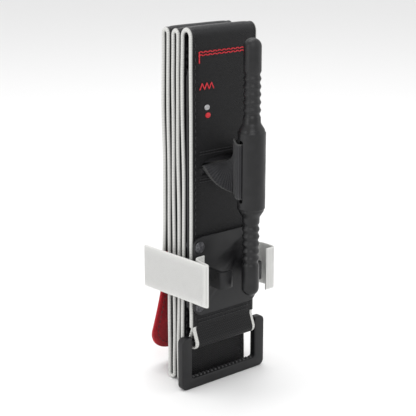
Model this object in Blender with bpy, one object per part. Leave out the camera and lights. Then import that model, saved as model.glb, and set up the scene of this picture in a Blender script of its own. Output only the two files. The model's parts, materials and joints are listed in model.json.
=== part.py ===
"""A windlass tourniquet, folded in a zigzag for stowage and standing on its folds.

Metres, +Z up. The strap's width runs along X, its length along Z, and the stack of panels along +Y.
Panel 1 is at the front and carries the windlass on its -Y side. The origin is under the middle of the box.
"""

import math

import bmesh
import bpy
from mathutils import Matrix, Vector

# Strap: a flat woven tube (the sleeve) with a narrower band sliding inside it.
STRAP_WIDTH = 0.038
SLEEVE_THICK = 0.0024
CAVITY_WIDTH = 0.027
CAVITY_THICK = 0.0012
INNER_WIDTH = 0.025
INNER_THICK = 0.0006
INNER_SHORT = 0.008
GAP = 0.0003

# Zigzag: the middle of each panel, front to back, before the frame is centred.
PANEL_Y = [0.0, 0.0054, 0.0088, 0.0122, 0.0156, 0.0190]
TOP_FOLD_Z = 0.1611
BOTTOM_FOLD_Z = 0.0029
PANEL_1_LOW_Z = 0.0296
PANEL_6_LOW_Z = 0.0503

# Windlass rod, which stands off the band and leans into the clip.
ROD_Y = -0.0193
ROD_Z = 0.104
ROD_HALF = 0.0575
ROD_RADIUS = 0.0039
ROD_END_ROUND, ROD_END_DROP = 0.0035, 0.0030
BOSS_RADIUS = 0.0062
BOSS_HALF = 0.0174
BOSS_CHAMFER, BOSS_CHAMFER_RUN, BOSS_TAPER_RUN = 0.0006, 0.001, 0.004
SLOT_LENGTH = 0.028
SLOT_HEIGHT = 0.0022
RIB_START, RIB_PITCH, RIB_DEPTH, RIB_COUNT = 0.0235, 0.0034, 0.0005, 6
RIB_SLOPE, RIB_GROOVE = 0.0006, 0.0012

# Inner band between its slit in the sleeve and the rod: the riser, then the loop (bight) round the boss.
SLIT_HALF_WIDTH = 0.0132
SLIT_HALF_HEIGHT = 0.004
RISER_START, RISER_TWIST_FROM, RISER_END = -0.0003, -0.0016, -0.0083
RISER_HALF_THICK, RISER_ROOM = 0.0009, 0.0005
BIGHT_THICK = 0.0007
BIGHT_LEG_X, BIGHT_START = 0.0009, -0.0088
BIGHT_TURN_IN = 0.0016

# Clip under the rod's lower end.
CLIP_Z = 0.054
CLIP_BASE_HALF_WIDTH = 0.0185
CLIP_BASE_HALF_LENGTH = 0.0185
CLIP_BASE_FRONT = -0.0029
CLIP_BASE_BACK = -0.0015
CLIP_CORNER = 0.004
HOOK_HALF_LENGTH = 0.004
HOOK_INNER = 0.0106
HOOK_OUTER = 0.0128
HOOK_MOUTH = 0.0054
HOOK_UNDER = -0.01295
HOOK_TOP = -0.01425
HOOK_OUTER_BEND, HOOK_INNER_BEND = 0.0022, 0.0012

# Stabilising plate behind panel 1, and the rivets through both.
PLATE_FRONT, PLATE_BACK = 0.0015, 0.0025
PLATE_LOW_Z, PLATE_HIGH_Z = 0.034, 0.150
PLATE_CORNER = 0.006
RIVET_X = 0.0159
RIVET_DZ = 0.014
RIVET_RADIUS = 0.0015
RIVET_HEAD_RADIUS = 0.0027
RIVET_DOME_RADIUS, RIVET_DOME_HEIGHT, RIVET_HEAD_THICK, RIVET_EDGE = 0.0012, 0.0009, 0.0006, 0.0003
RIVET_HOLE_RADIUS = 0.0018

# Time strap: a white strap that closes over the clip.
TIME_HALF_LENGTH = 0.010
TIME_THICK = 0.0008
TIME_AXIS_X, TIME_AXIS_Y = -0.022, -0.0146
TIME_REACH = 0.041
TIME_LEAN = math.radians(3)
TIME_FOOT_INNER, TIME_FOOT_OUTER, TIME_FOOT_BEND = 0.0137, 0.0168, 0.0025
TIME_ROOT_ENDS = [(-0.0203, -0.0100), (-0.0207, -0.0139)]
CATCH_WALL, CATCH_BEND_Y, CATCH_BEND, CATCH_LIP = 0.0197, -0.0125, 0.0015, 0.0142
LABEL_THICK, LABEL_START, LABEL_END, LABEL_MARGIN = 0.0004, 0.010, 0.037, 0.002

# Buckle at panel 1's lower end.
BAR_Z = 0.022
BAR_RADIUS = 0.0018
BUCKLE_HALF_WIDTH = 0.025
BUCKLE_THICK = 0.0038
BUCKLE_HEIGHT = 0.0255
BUCKLE_WINDOW_HALF = 0.0193
BUCKLE_FOOT = 0.0050
BUCKLE_FOOT_CORNER, BUCKLE_TOP_CORNER = 0.003, 0.002
TOOTH_COUNT, TOOTH_PITCH, TOOTH_HEIGHT, TOOTH_HALF_DEPTH = 17, 0.0022, 0.0007, 0.0010
LOOP_HALF_WIDTH = 0.018
LOOP_THICK, LOOP_WRAP, LOOP_RUN, LOOP_JOIN = 0.0010, 0.0027, 0.0006, 0.0050

# Red free end, flared away from the stack.
TIP_LENGTH = 0.044
TIP_START = 0.0018
TIP_THICK = 0.0016
TIP_AXIS_Z = 0.050
TIP_FLARE = math.radians(16)
TIP_CORNER = 0.012

# The box runs from the windlass boss to the flared tip, and the origin is under its middle.
# Across X the buckle is the widest piece, so that middle is already at 0.
TIP_BACK = PANEL_Y[5] + TIP_LENGTH * math.sin(TIP_FLARE) + TIP_THICK / 2 * math.cos(TIP_FLARE)
SHIFT_Y = -(ROD_Y - BOSS_RADIUS + TIP_BACK) / 2

COLOURS = {
    "webbing": ((0.018, 0.018, 0.020), 0.85, 0.0),
    "inner": ((0.030, 0.030, 0.032), 0.70, 0.0),
    "plastic": ((0.022, 0.022, 0.024), 0.45, 0.0),
    "rivet": ((0.10, 0.10, 0.11), 0.35, 0.9),
    "white": ((0.80, 0.80, 0.78), 0.80, 0.0),
    "label": ((0.86, 0.87, 0.86), 0.45, 0.0),
    "red": ((0.50, 0.012, 0.022), 0.60, 0.0),
}


def clear_scene():
    for obj in list(bpy.data.objects):
        bpy.data.objects.remove(obj)


def material(name):
    found = bpy.data.materials.get(name)
    if found:
        return found
    colour, roughness, metallic = COLOURS[name]
    made = bpy.data.materials.new(name)
    made.use_nodes = True
    shader = made.node_tree.nodes["Principled BSDF"]
    shader.inputs["Base Color"].default_value = (*colour, 1)
    shader.inputs["Roughness"].default_value = roughness
    shader.inputs["Metallic"].default_value = metallic
    return made


def placed(x, y, z):
    """A point of the design in the object's own frame, whose origin is under the middle of the box."""
    return Vector((x, y + SHIFT_Y, z))


def hang(obj, parent):
    """Parents an object where it stands: both locations are in the whole object's frame."""
    if parent is not None:
        obj.parent = parent
        obj.matrix_parent_inverse = Matrix.Translation(-parent.location)


def hinge(name, point, parent):
    """An empty on a joint's axis. What hangs on it turns with that joint."""
    empty = bpy.data.objects.new(name, None)
    empty.empty_display_size = STRAP_WIDTH / 2
    empty.location = placed(*point)
    hang(empty, parent)
    bpy.context.scene.collection.objects.link(empty)
    return empty


def add(name, mesh_builder, finish, origin=(0, 0, 0), turn=None, smooth=True, parent=None):
    """Links an object whose mesh is given about the design point origin."""
    mesh = bpy.data.meshes.new(name)
    bmesh.ops.recalc_face_normals(mesh_builder, faces=mesh_builder.faces)
    mesh_builder.to_mesh(mesh)
    mesh_builder.free()
    mesh.materials.append(material(finish))
    if smooth:
        mesh.shade_smooth()
        mesh.set_sharp_from_angle(angle=math.radians(40))
    obj = bpy.data.objects.new(name, mesh)
    obj.location = placed(*origin)
    if turn is not None:
        obj.rotation_euler = turn
    hang(obj, parent)
    bpy.context.scene.collection.objects.link(obj)
    return obj


def loft(rings):
    """Joins rings of points, each with the same count, into a tube with flat ends."""
    bm = bmesh.new()
    made = [[bm.verts.new(p) for p in ring] for ring in rings]
    for first, second in zip(made, made[1:]):
        for i in range(len(first)):
            j = (i + 1) % len(first)
            bm.faces.new((first[i], first[j], second[j], second[i]))
    bm.faces.new(made[0])
    bm.faces.new(made[-1])
    return bm


def prism(outline, low, high, place):
    """Extrudes a closed 2-D outline from low to high; place(u, v, w) gives the point."""
    return loft([[place(u, v, w) for u, v in outline] for w in (low, high)])


def along_x(u, v, w):
    return (w, u, v)


def along_y(u, v, w):
    return (u, w, v)


def along_z(u, v, w):
    return (u, v, w)


def rounded_box(half_u, half_v, radius, steps=3):
    """A rounded rectangle about 0, anticlockwise."""
    points = []
    for corner, (su, sv) in enumerate(((1, 1), (-1, 1), (-1, -1), (1, -1))):
        for k in range(steps):
            a = math.pi / 2 * (corner + k / (steps - 1))
            points.append(
                (
                    su * (half_u - radius) + radius * math.cos(a),
                    sv * (half_v - radius) + radius * math.sin(a),
                )
            )
    return points


def normals_of(path):
    """The unit normal at each point of an open 2-D path, to the left of its direction."""
    found = []
    for i in range(len(path)):
        before, after = path[max(i - 1, 0)], path[min(i + 1, len(path) - 1)]
        du, dv = after[0] - before[0], after[1] - before[1]
        size = math.hypot(du, dv)
        found.append((-dv / size, du / size))
    return found


def strip_outline(path, thick):
    """The closed outline of a strip of that thickness along an open 2-D path."""
    half = thick / 2
    ends = list(zip(path, normals_of(path)))
    left = [(u + half * nu, v + half * nv) for (u, v), (nu, nv) in ends]
    right = [(u - half * nu, v - half * nv) for (u, v), (nu, nv) in ends]
    return left + right[::-1]


def arc(centre, radius, start, end, steps):
    """Points of a 2-D arc, with angles in radians from +u towards +v."""
    return [
        (
            centre[0] + radius * math.cos(start + (end - start) * k / steps),
            centre[1] + radius * math.sin(start + (end - start) * k / steps),
        )
        for k in range(steps + 1)
    ]


def swept_section(path, section):
    """Rings of a section (across X, through the thickness) along a path in the Y-Z plane."""
    return [
        [(u, y + v * ny, z + v * nz) for u, v in section]
        for (y, z), (ny, nz) in zip(path, normals_of(path))
    ]


def hollow_sweep(path):
    """The sleeve along a path in the Y-Z plane: a flat tube, open at both ends."""
    outer = swept_section(path, rounded_box(STRAP_WIDTH / 2, SLEEVE_THICK / 2, SLEEVE_THICK * 0.45))
    inner = swept_section(path, rounded_box(CAVITY_WIDTH / 2, CAVITY_THICK / 2, CAVITY_THICK * 0.3))
    bm = bmesh.new()
    shells = [[[bm.verts.new(p) for p in ring] for ring in rings] for rings in (outer, inner)]
    count = len(outer[0])
    for shell in shells:
        for first, second in zip(shell, shell[1:]):
            for i in range(count):
                j = (i + 1) % count
                bm.faces.new((first[i], first[j], second[j], second[i]))
    for end in (0, -1):
        for i in range(count):
            j = (i + 1) % count
            bm.faces.new((shells[0][end][i], shells[0][end][j], shells[1][end][j], shells[1][end][i]))
    return bm


def band_sweep(path):
    """The inner band along a path in the Y-Z plane."""
    half = INNER_THICK / 2
    return loft(swept_section(path, rounded_box(INNER_WIDTH / 2, half, half * 0.8)))


def cut(obj, cutter):
    cutter.hide_render = True
    cutter.display_type = "WIRE"
    boolean = obj.modifiers.new("cut", "BOOLEAN")
    boolean.operation = "DIFFERENCE"
    boolean.solver = "EXACT"
    boolean.object = cutter


def join(obj, other):
    other.hide_render = True
    other.display_type = "WIRE"
    boolean = obj.modifiers.new("join", "BOOLEAN")
    boolean.operation = "UNION"
    boolean.solver = "EXACT"
    boolean.object = other


def block(x, y, z):
    """A box builder from (low, high) pairs."""
    outline = [(x[0], y[0]), (x[1], y[0]), (x[1], y[1]), (x[0], y[1])]
    return prism(outline, z[0], z[1], along_z)


def disc_rings(profile, segments, place):
    """Rings of a turned shape from (distance along the axis, radius) pairs."""
    return [
        [
            place(
                radius * math.cos(2 * math.pi * k / segments),
                radius * math.sin(2 * math.pi * k / segments),
                along,
            )
            for k in range(segments)
        ]
        for along, radius in profile
    ]


def fold_z(index):
    return BOTTOM_FOLD_Z if index % 2 else TOP_FOLD_Z


def make_hinges():
    """An empty on each fold's axis, hung on the one before it. Panel 1 hangs on nothing."""
    hinges = [None]
    for index, (front, back) in enumerate(zip(PANEL_Y, PANEL_Y[1:])):
        point = (0, (front + back) / 2, fold_z(index))
        hinges.append(hinge(f"strap_unfold_{index + 1}", point, hinges[-1]))
    return hinges


def panel_ends(index):
    """Lowest and highest Z of a panel, which meets its folds with a small gap."""
    low = {0: PANEL_1_LOW_Z, 5: PANEL_6_LOW_Z}.get(index, BOTTOM_FOLD_Z + GAP)
    return low, TOP_FOLD_Z - GAP


def make_panels(hinges):
    panels = []
    for index, (y, parent) in enumerate(zip(PANEL_Y, hinges)):
        low, high = panel_ends(index)
        panel = hollow_sweep([(y, low), (y, high)])
        panels.append(add(f"sleeve_panel_{index + 1}", panel, "webbing", parent=parent))
    window = add(
        "window_cutter",
        block(
            (-SLIT_HALF_WIDTH, SLIT_HALF_WIDTH),
            (-SLEEVE_THICK, SLEEVE_THICK / 12),
            (ROD_Z - SLIT_HALF_HEIGHT, ROD_Z + SLIT_HALF_HEIGHT),
        ),
        "webbing",
        smooth=False,
    )
    cut(panels[0], window)
    drill(panels[0], -SLEEVE_THICK, SLEEVE_THICK, "sleeve")


def make_inner_bands(hinges):
    """The band inside each panel. In panel 1 it is in two runs, which leave room for the riser."""
    riser_half = RISER_HALF_THICK + RISER_ROOM
    for index, (y, parent) in enumerate(zip(PANEL_Y, hinges)):
        low, high = panel_ends(index)
        low = low + INNER_SHORT if index == 5 else low
        if index:
            add(f"inner_band_{index + 1}", band_sweep([(y, low), (y, high)]), "inner", parent=parent)
            continue
        add("inner_band_1_lower", band_sweep([(y, low + GAP), (y, ROD_Z - riser_half)]), "inner")
        add("inner_band_1_upper", band_sweep([(y, ROD_Z + riser_half), (y, high)]), "inner")


def make_folds(hinges):
    """One U-turn of the sleeve, and of the band in it, between each panel and the next."""
    for index, (front, back) in enumerate(zip(PANEL_Y, PANEL_Y[1:])):
        turn = math.pi if index % 2 else -math.pi
        steps = 8 if index else 10
        path = arc(((front + back) / 2, fold_z(index)), (back - front) / 2, math.pi, math.pi + turn, steps)
        add(f"sleeve_fold_{index + 1}", hollow_sweep(path), "webbing", parent=hinges[index])
        add(f"inner_fold_{index + 1}", band_sweep(path), "inner", parent=hinges[index])


def make_riser():
    """Both runs of the inner band, twisted a quarter turn between the window and the rod."""
    across, steps = 4, 10
    side = [INNER_WIDTH * (0.5 - k / across) for k in range(across + 1)]
    section = [(u, RISER_HALF_THICK) for u in side] + [(u, -RISER_HALF_THICK) for u in side[::-1]]
    twist = RISER_END - RISER_TWIST_FROM
    stations = [(RISER_START, 0.0)]
    stations += [(RISER_TWIST_FROM + twist * k / steps, k / steps) for k in range(steps + 1)]
    rings = []
    for y, share in stations:
        a = math.pi / 2 * share
        rings.append(
            [(u * math.cos(a) - v * math.sin(a), y, u * math.sin(a) + v * math.cos(a)) for u, v in section]
        )
    add("inner_band_riser", loft(rings), "inner", (0, 0, ROD_Z))


def make_bight():
    """The inner band's loop: up one side of the boss, through the rod's slot, and down the other side."""
    leg = (BIGHT_LEG_X, BIGHT_START - ROD_Y)
    wrap = BOSS_RADIUS + GAP + BIGHT_THICK / 2
    touch = math.atan2(*leg) + math.acos(wrap / math.hypot(*leg))
    last = math.acos(BIGHT_TURN_IN / wrap)
    side = [leg] + arc((0, 0), wrap, math.pi / 2 - touch, math.pi / 2 - last, 4)
    side += [(wrap - 0.0001, 0.0006), (wrap - 0.00055, 0.0001), (BOSS_RADIUS - 0.0008, 0.0)]
    path = side + [(-u, v) for u, v in side[::-1]]
    outline = strip_outline(path, BIGHT_THICK)
    half = INNER_WIDTH / 2
    add("inner_band_bight", prism(outline, -half, half, along_z), "inner", (0, ROD_Y, ROD_Z))


def rod_profile():
    """(along, radius) pairs of the rod's upper half, from the middle to the end."""
    points = [(0.0, BOSS_RADIUS), (BOSS_HALF - BOSS_CHAMFER_RUN, BOSS_RADIUS)]
    points += [(BOSS_HALF, BOSS_RADIUS - BOSS_CHAMFER), (BOSS_HALF + BOSS_TAPER_RUN, ROD_RADIUS)]
    groove = ROD_RADIUS - RIB_DEPTH
    for k in range(RIB_COUNT):
        at = RIB_START + k * RIB_PITCH
        floor = at + RIB_SLOPE
        points += [(at, ROD_RADIUS), (floor, groove), (floor + RIB_GROOVE, groove)]
        points.append((floor + RIB_GROOVE + RIB_SLOPE, ROD_RADIUS))
    round_from = ROD_HALF - ROD_END_ROUND
    points.append((round_from, ROD_RADIUS))
    points += [
        (round_from + ROD_END_ROUND * math.sin(a), ROD_RADIUS - ROD_END_DROP * (1 - math.cos(a)))
        for a in (math.radians(d) for d in (22, 45, 67, 90))
    ]
    return points


def make_rod():
    half = rod_profile()
    profile = [(-a, r) for a, r in half[::-1]] + half[1:]
    rod = add("windlass_rod", loft(disc_rings(profile, 20, along_z)), "plastic", (0, ROD_Y, ROD_Z))
    slot = block(
        (-BOSS_RADIUS - 0.002, BOSS_RADIUS + 0.002),
        (-SLOT_HEIGHT / 2, SLOT_HEIGHT / 2),
        (-SLOT_LENGTH / 2, SLOT_LENGTH / 2),
    )
    cut(rod, add("slot_cutter", slot, "plastic", (0, ROD_Y, ROD_Z), smooth=False))


def hook_outline(side):
    """A hook's outline in X-Y: a wall that rises from the base and curls over the trough."""
    base = (CLIP_BASE_FRONT + CLIP_BASE_BACK) / 2
    points = [(HOOK_INNER, base), (HOOK_OUTER, base)]
    bend = HOOK_OUTER_BEND
    points += [
        (HOOK_OUTER - bend + bend * math.cos(a), HOOK_TOP + bend - bend * math.sin(a))
        for a in (math.radians(d) for d in (0, 30, 60, 90))
    ]
    points += [(HOOK_MOUTH + 0.0007, HOOK_TOP), (HOOK_MOUTH, HOOK_TOP + 0.0005)]
    points += [(HOOK_MOUTH, HOOK_UNDER - 0.0002), (HOOK_MOUTH + 0.0004, HOOK_UNDER)]
    bend = HOOK_INNER_BEND
    points += [
        (HOOK_INNER - bend + bend * math.cos(a), HOOK_UNDER + bend - bend * math.sin(a))
        for a in (math.radians(d) for d in (90, 45, 0))
    ]
    return [(side * u, v) for u, v in points]


def rivet_places():
    return [(sx * RIVET_X, CLIP_Z + sz * RIVET_DZ) for sz in (-1, 1) for sx in (-1, 1)]


def drill(obj, low_y, high_y, label):
    for number, (x, z) in enumerate(rivet_places()):
        hole = disc_rings([(low_y, RIVET_HOLE_RADIUS), (high_y, RIVET_HOLE_RADIUS)], 16, along_y)
        cut(obj, add(f"{label}_hole_{number}", loft(hole), "plastic", (x, 0, z)))


def make_clip():
    outline = rounded_box(CLIP_BASE_HALF_WIDTH, CLIP_BASE_HALF_LENGTH, CLIP_CORNER, 4)
    outline = [(u, v + CLIP_Z) for u, v in outline]
    clip = add("windlass_clip", prism(outline, CLIP_BASE_BACK, CLIP_BASE_FRONT, along_y), "plastic")
    for side in (-1, 1):
        hook = prism(hook_outline(side), CLIP_Z - HOOK_HALF_LENGTH, CLIP_Z + HOOK_HALF_LENGTH, along_z)
        join(clip, add(f"hook_{side + 1}", hook, "plastic"))
    drill(clip, -0.004, 0.0, "clip")


def make_plate():
    middle, half = (PLATE_LOW_Z + PLATE_HIGH_Z) / 2, (PLATE_HIGH_Z - PLATE_LOW_Z) / 2
    outline = [(u, v + middle) for u, v in rounded_box(CLIP_BASE_HALF_WIDTH, half, PLATE_CORNER, 4)]
    plate = add("stabilising_plate", prism(outline, PLATE_FRONT, PLATE_BACK, along_y), "plastic")
    drill(plate, 0.0, 0.004, "plate")


def make_rivets():
    """Turned rivets: a domed head over the clip's base, a shank, and a flat head behind the plate."""
    front, back = CLIP_BASE_FRONT - GAP, PLATE_BACK + GAP
    profile = [
        (front - RIVET_DOME_HEIGHT, RIVET_DOME_RADIUS),
        (front - RIVET_HEAD_THICK, RIVET_HEAD_RADIUS - RIVET_EDGE),
        (front, RIVET_HEAD_RADIUS),
        (front, RIVET_RADIUS),
        (back, RIVET_RADIUS),
        (back, RIVET_HEAD_RADIUS),
        (back + RIVET_HEAD_THICK, RIVET_HEAD_RADIUS - RIVET_EDGE),
    ]
    for number, (x, z) in enumerate(rivet_places()):
        add(f"rivet_{number + 1}", loft(disc_rings(profile, 16, along_y)), "rivet", (x, 0, z))


def make_time_strap():
    low, high = CLIP_Z - TIME_HALF_LENGTH, CLIP_Z + TIME_HALF_LENGTH
    foot = CLIP_BASE_FRONT - GAP - TIME_THICK / 2
    bend = (TIME_FOOT_OUTER, foot - TIME_FOOT_BEND)
    sewn = [(TIME_FOOT_INNER, foot)] + arc(bend, TIME_FOOT_BEND, math.pi / 2, math.pi * 0.06, 4)
    root = [(-u, v) for u, v in sewn] + TIME_ROOT_ENDS
    add("time_strap_root", prism(strip_outline(root, TIME_THICK), low, high, along_z), "white")
    catch = sewn + [(CATCH_WALL, TIME_ROOT_ENDS[0][1])]
    catch += arc((CATCH_WALL - CATCH_BEND, CATCH_BEND_Y), CATCH_BEND, 0, -math.pi / 2, 4)
    catch += [(CATCH_LIP, CATCH_BEND_Y - CATCH_BEND)]
    add("time_strap_catch", prism(strip_outline(catch, TIME_THICK), low, high, along_z), "white")
    origin, turn = (TIME_AXIS_X, TIME_AXIS_Y, CLIP_Z), (0, 0, TIME_LEAN)
    half, start = TIME_THICK / 2, 0.0006
    strap = [(-half, start), (half, start), (half, TIME_REACH - 0.002), (half - 0.0001, TIME_REACH)]
    strap += [(-half + 0.0001, TIME_REACH), (-half, TIME_REACH - 0.002)]
    add(
        "time_strap",
        prism(strap, -TIME_HALF_LENGTH, TIME_HALF_LENGTH, along_z),
        "white",
        origin,
        turn,
    )
    label_low, label_half = half + GAP, TIME_HALF_LENGTH - LABEL_MARGIN
    label = block((label_low, label_low + LABEL_THICK), (LABEL_START, LABEL_END), (-label_half, label_half))
    add("write_on_label", label, "label", origin, turn)


def make_buckle():
    """A frame with a round bar across its top and one wide window, whose foot is toothed."""
    half, top, foot = BUCKLE_HALF_WIDTH, BUCKLE_HEIGHT, BUCKLE_FOOT_CORNER
    right = arc((half - foot, foot), foot, -math.pi / 2, 0, 4)
    right += arc((half - BUCKLE_TOP_CORNER, top - BUCKLE_TOP_CORNER), BUCKLE_TOP_CORNER, 0, math.pi / 2, 3)
    right += [(BUCKLE_WINDOW_HALF, top), (BUCKLE_WINDOW_HALF, BUCKLE_FOOT)]
    outline = right + [(-u, v) for u, v in right[::-1]]
    outline = [(u, v - BAR_Z) for u, v in outline]
    frame = prism(outline, -BUCKLE_THICK / 2, BUCKLE_THICK / 2, along_y)
    buckle = add("buckle", frame, "plastic", (0, 0, BAR_Z))
    bevel = buckle.modifiers.new("bevel", "BEVEL")
    bevel.width = 0.0006
    bevel.segments = 2
    bevel.angle_limit = math.radians(60)
    reach = BUCKLE_WINDOW_HALF + 0.002
    bar = disc_rings([(-reach, BAR_RADIUS), (reach, BAR_RADIUS)], 16, along_x)
    join(buckle, add("bar_join", loft(bar), "plastic", (0, 0, BAR_Z)))
    teeth = prism(teeth_outline(), -TOOTH_HALF_DEPTH, TOOTH_HALF_DEPTH, along_y)
    join(buckle, add("teeth_join", teeth, "plastic"))


def teeth_outline():
    """The saw-toothed ridge along the foot, in X-Z, with its root sunk into the foot."""
    half = TOOTH_COUNT * TOOTH_PITCH / 2
    valley, peak = BUCKLE_FOOT + 0.0001, BUCKLE_FOOT + TOOTH_HEIGHT
    outline = [(half, BUCKLE_FOOT - 0.0008), (half, valley)]
    for k in range(TOOTH_COUNT):
        right = half - k * TOOTH_PITCH
        outline += [(right - TOOTH_PITCH / 2, peak), (right - TOOTH_PITCH, valley)]
    return outline + [(-half, BUCKLE_FOOT - 0.0008)]


def make_buckle_loop():
    """The strap's end: a webbing strip that runs down, round the bar, and up again to its own seam."""
    top, join_z = PANEL_1_LOW_Z - GAP, BAR_Z + LOOP_JOIN + 0.0006
    touch = math.atan2(LOOP_RUN, LOOP_JOIN) + math.acos(LOOP_WRAP / math.hypot(LOOP_RUN, LOOP_JOIN))
    circle = arc((0, BAR_Z), LOOP_WRAP, math.pi / 2 - touch, touch - math.pi * 1.5, 14)
    path = [(LOOP_RUN, top), (LOOP_RUN, join_z)] + circle + [(-LOOP_RUN, join_z), (-LOOP_RUN, top)]
    outline = strip_outline(path, LOOP_THICK)
    add("buckle_loop", prism(outline, -LOOP_HALF_WIDTH, LOOP_HALF_WIDTH, along_x), "webbing")


def make_tip(parent):
    """A red strip with a rounded end, flared back from the last panel."""
    half, corner = STRAP_WIDTH / 2, TIP_CORNER
    outline = [(half, -TIP_START), (-half, -TIP_START)]
    outline += arc((-half + corner, -TIP_LENGTH + corner), corner, math.pi, math.pi * 1.5, 6)
    outline += arc((half - corner, -TIP_LENGTH + corner), corner, -math.pi / 2, 0, 6)
    plate = prism(outline, -TIP_THICK / 2, TIP_THICK / 2, along_y)
    add("red_tip", plate, "red", (0, PANEL_Y[5], TIP_AXIS_Z), (TIP_FLARE, 0, 0), parent=parent)


def main():
    clear_scene()
    hinges = make_hinges()
    make_panels(hinges)
    make_inner_bands(hinges)
    make_folds(hinges)
    make_riser()
    make_bight()
    make_rod()
    make_clip()
    make_plate()
    make_rivets()
    make_time_strap()
    make_buckle()
    make_buckle_loop()
    make_tip(hinges[-1])


main()
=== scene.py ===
"""Looks for the folded windlass tourniquet: woven strap, moulded plastic, stitching and printed tabs.

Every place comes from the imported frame, in metres. X is across the strap, Z along it, and the stack of panels
runs along +Y from panel 1, which carries the windlass on its -Y side. "Out" is how far a point lies from the
middle of a panel or a tape, towards its brushed side.
"""

import functools
import json
from collections import namedtuple
from math import acos, atan2, cos, dist, hypot, pi, radians, sin, sqrt

import bmesh
import bpy
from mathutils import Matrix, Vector


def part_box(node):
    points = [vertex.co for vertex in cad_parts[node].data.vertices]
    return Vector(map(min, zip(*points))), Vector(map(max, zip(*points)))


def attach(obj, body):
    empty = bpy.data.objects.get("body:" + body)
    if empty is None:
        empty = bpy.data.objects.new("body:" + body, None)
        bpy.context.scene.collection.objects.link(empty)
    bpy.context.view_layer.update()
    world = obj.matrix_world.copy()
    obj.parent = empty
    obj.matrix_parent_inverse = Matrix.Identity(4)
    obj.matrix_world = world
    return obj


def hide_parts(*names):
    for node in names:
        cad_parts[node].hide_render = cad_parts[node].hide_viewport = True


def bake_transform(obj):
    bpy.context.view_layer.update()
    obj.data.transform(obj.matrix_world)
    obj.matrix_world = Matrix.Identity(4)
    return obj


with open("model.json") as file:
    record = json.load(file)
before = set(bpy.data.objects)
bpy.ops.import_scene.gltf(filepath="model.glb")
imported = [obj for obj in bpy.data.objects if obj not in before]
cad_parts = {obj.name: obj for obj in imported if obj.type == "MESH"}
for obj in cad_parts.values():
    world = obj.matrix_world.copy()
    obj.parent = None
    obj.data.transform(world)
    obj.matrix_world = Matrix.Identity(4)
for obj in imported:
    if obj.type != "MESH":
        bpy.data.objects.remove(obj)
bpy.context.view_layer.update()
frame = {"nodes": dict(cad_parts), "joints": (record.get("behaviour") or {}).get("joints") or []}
JOINTS = {joint["name"]: joint for joint in frame["joints"]}
Place = namedtuple("Place", "x y z")
MM = 0.001
WELD = 0.000002
SQUARE = ((-1, -1), (1, -1), (1, 1), (-1, 1))

PANEL_COUNT = 6

# The strap's half section as (across, half thickness) in millimetres: a padded middle, a groove along the
# seam, and a round selvedge at the rim.
HALF_SECTION = [(0.0, 1.20), (4.5, 1.22), (9.0, 1.20), (13.0, 1.16), (15.2, 1.08), (16.2, 0.94), (16.7, 0.90)]
HALF_SECTION += [(17.3, 0.96), (17.9, 0.98), (18.4, 0.88), (18.8, 0.62), (18.97, 0.32), (19.0, 0.0)]
SEAM_X, SEAM_OUT, SEAM_PITCH = 0.0166, 0.00094, 0.0031
FACE_OUT = 0.00122
PALE_FROM, PILE_HALF, MARK_EDGE = 0.0182, 0.0152, 0.0003

# How far each fold lies to one side, from the front fold to the back one, and the strap's end.
FOLD_SHIFT = [0.00025, -0.00045, 0.00050, -0.00035, 0.00045]
TIP_SHIFT = -0.00025

# How a panel strays from flat: a swell along it, less on panel 1, a sideways bow, and curled edges.
FIRST_SWELL, SWELL, BOW, CURL = 0.00006, 0.00026, 0.00018, 0.00012
TOP_FOLD_STRETCH = 1.12
PANEL_STEP, FOLD_STEPS = 0.0022, 18
WINDOW_HALF = (0.0130, 0.0036)

# A stitch's sides, and its rings as (place along it, share of its width).
STITCH_SIDES = 6
STITCH_SWELLS = ((-0.42, 0.55), (-0.2, 1.0), (0.2, 1.0), (0.42, 0.55))

# The stitched zigzag on panel 1, as (across, height) corners, and the dots printed under it.
ZIGZAG = [(-0.0142 + 0.0013 * k, 0.1384 + 0.0026 * (k % 2)) for k in range(7)]
DOTS = (
    ("dot_grey", -0.0100, 0.1303, "print_pale", "webbing"),
    ("dot_red", -0.0095, 0.1268, "print_red", "red_webbing"),
)
DOT_OUT = 0.00121

# The red bracket: its half width, its feet's places across, and how far its rows lie under the fold.
BRACKET_HALF, BRACKET_FEET, BRACKET_ROWS = 0.0150, 0.0145, (0.0065, 0.0078)

# Windlass rod: a boss in the middle, a taper, and a ribbed grip with a round end, each way.
ROD_RADIUS, ROD_SIDES = 0.0039, 56
BOSS_FLAT, BOSS_SHOULDER, BOSS_EDGE, TAPER_RUN = 0.0168, 0.0174, 0.0004, 0.0042
RIB_FROM, RIB_PITCH, RIB_DEPTH, RIB_COUNT = 0.0232, 0.0034, 0.00055, 6
ROD_END, ROD_END_DROP = 0.0036, 0.0037
SLOT_HALF_LENGTH, SLOT_HALF_HEIGHT = 0.0140, 0.0011
SLOT_REACH = 0.009
PARTING_FROM, PARTING_TO = 0.0236, 0.0545
PARTING_HALF, PARTING_SINK, PARTING_PROUD = 0.00016, 0.00012, 0.00008

# Thin tapes: the rim's width, and how far a brushed field keeps from the edge.
TAPE_RIM, TAPE_BORDER = 0.0006, 0.0022

# Inner band.
BAND_WIDTH, BAND_THICK, BAND_PALE_FROM = 0.0248, 0.00062, 0.0117
BIGHT_LEG, BIGHT_TURN_IN = 0.0009, 0.0016
RISER_APART, RISER_CUP, RISER_WAIST, RISER_STEPS = 0.00052, 0.0005, 0.10, 26

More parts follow.
